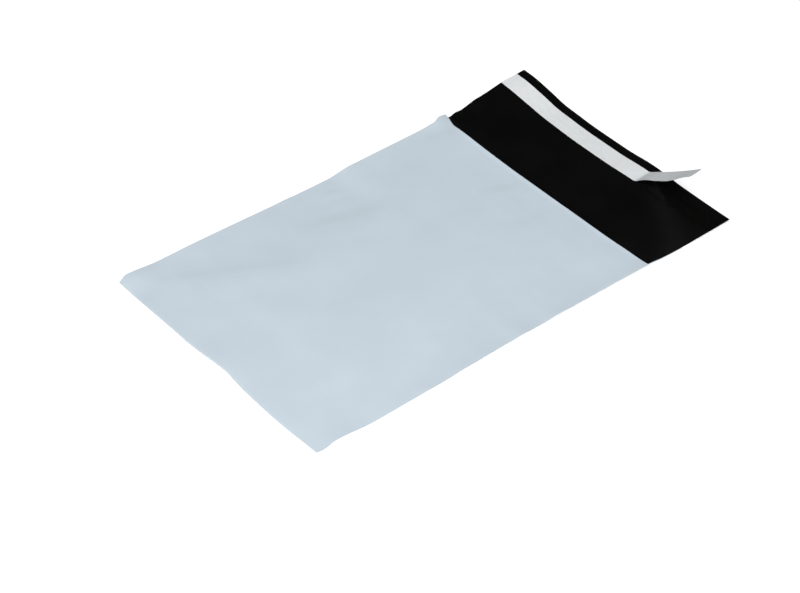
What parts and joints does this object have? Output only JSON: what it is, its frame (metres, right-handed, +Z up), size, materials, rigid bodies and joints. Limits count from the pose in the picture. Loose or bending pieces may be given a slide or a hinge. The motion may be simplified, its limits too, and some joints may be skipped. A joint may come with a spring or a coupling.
{
  "type": "poly mailer bag",
  "caption": "Flat plastic mailing bag, pale outside and black inside, with an open mouth and a self-seal flap whose release liner is part peeled.",
  "frame": {"origin": "on the resting plane, at the middle of the bag's length and width", "axes": "+X across the bag to the peeled end of the liner, +Y along the bag from the folded bottom to the flap, +Z up through the front panel"},
  "size_m": [0.2302, 0.388, 0.0514],
  "materials": {
    "film": "satin co-extruded film, pale blue-grey outside and black inside",
    "hot_melt": "clear glossy hot-melt adhesive over black film",
    "liner": "smooth silicone-coated release liner"
  },
  "bodies": {
    "root": {"bag_film": "film", "adhesive_strip": "hot_melt", "release_liner": "liner"}
  },
  "joints": []
}
